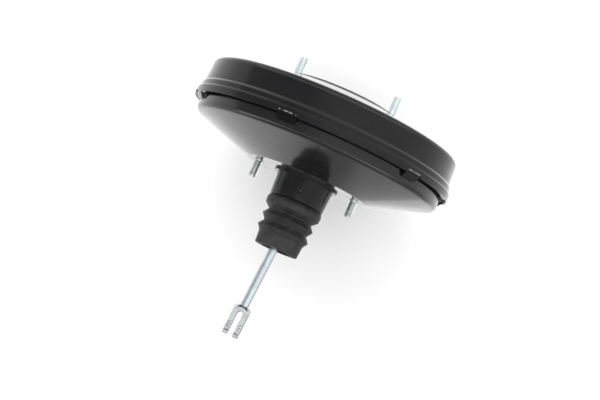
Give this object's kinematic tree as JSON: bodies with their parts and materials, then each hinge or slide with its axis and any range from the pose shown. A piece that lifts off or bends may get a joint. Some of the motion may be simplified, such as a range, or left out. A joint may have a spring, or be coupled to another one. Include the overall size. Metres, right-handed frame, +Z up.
{
  "type": "brake booster",
  "caption": "Vacuum brake booster: round black crimped shell with studs on both faces, ribbed neck, rubber boot, and a push rod that ends in a clevis.",
  "frame": {"origin": "centre of the firewall stud pattern, in the plane of the rear mounting face", "axes": "+Y along the booster's axis toward the master cylinder, +Z up, +X across, along both pairs of studs"},
  "size_m": [0.2748, 0.2873, 0.2748],
  "materials": {
    "black_paint": "glossy black paint on drawn steel",
    "zinc_steel": "bright blue-white zinc plating",
    "plain_steel": "plain pressed or drawn steel",
    "black_plastic": "semi-gloss black moulded plastic",
    "bearing_plastic": "natural bearing plastic",
    "valve_plastic": "dark moulded phenolic",
    "boot_rubber": "matt black rubber",
    "inner_rubber": "matt black rubber",
    "filter_foam": "grey open-cell foam"
  },
  "bodies": {
    "housing": {"front_shell": "black_paint", "rear_shell": "black_paint", "front_backing_plate": "plain_steel", "rear_backing_plate": "plain_steel", "cylinder_stud_left": "zinc_steel", "cylinder_stud_right": "zinc_steel", "firewall_stud_left": "zinc_steel", "firewall_stud_right": "zinc_steel", "guide_sleeve": "black_plastic", "guide_bush": "bearing_plastic", "neck_seal": "inner_rubber", "seal_retainer": "plain_steel", "dust_boot": "boot_rubber", "vacuum_grommet": "inner_rubber", "diaphragm": "inner_rubber", "return_spring": "plain_steel"},
    "power_piston": {"support_plate": "plain_steel", "valve_body": "valve_plastic", "stop_key": "plain_steel", "reaction_disc": "inner_rubber", "output_rod": "zinc_steel", "output_screw": "zinc_steel", "spring_seat": "plain_steel", "poppet_valve": "inner_rubber", "poppet_spring": "plain_steel", "poppet_retainer": "plain_steel", "rod_return_spring": "plain_steel", "air_filter": "filter_foam"},
    "valve_plunger": {"valve_plunger": "zinc_steel"},
    "push_rod": {"input_rod": "zinc_steel", "clevis": "zinc_steel"}
  },
  "joints": [
    {"name": "servo_stroke", "type": "slide", "parent": "housing", "child": "power_piston", "axis": [0, 1, 0], "range_m": [0, 0.032], "stiffness_N_per_m": 3500, "springref_m": -0.03, "deforming": ["dust_boot", "diaphragm", "return_spring"]},
    {"name": "valve_travel", "type": "slide", "parent": "power_piston", "child": "valve_plunger", "axis": [0, 1, 0], "range_m": [0, 0.0013], "stiffness_N_per_m": 2500, "springref_m": -0.006, "deforming": ["rod_return_spring"]},
    {"name": "rod_swivel", "type": "hinge", "parent": "valve_plunger", "child": "push_rod", "pos_m": [0, -0.036, 0], "axis": [1, 0, 0], "range_deg": [-4, 4]}
  ]
}
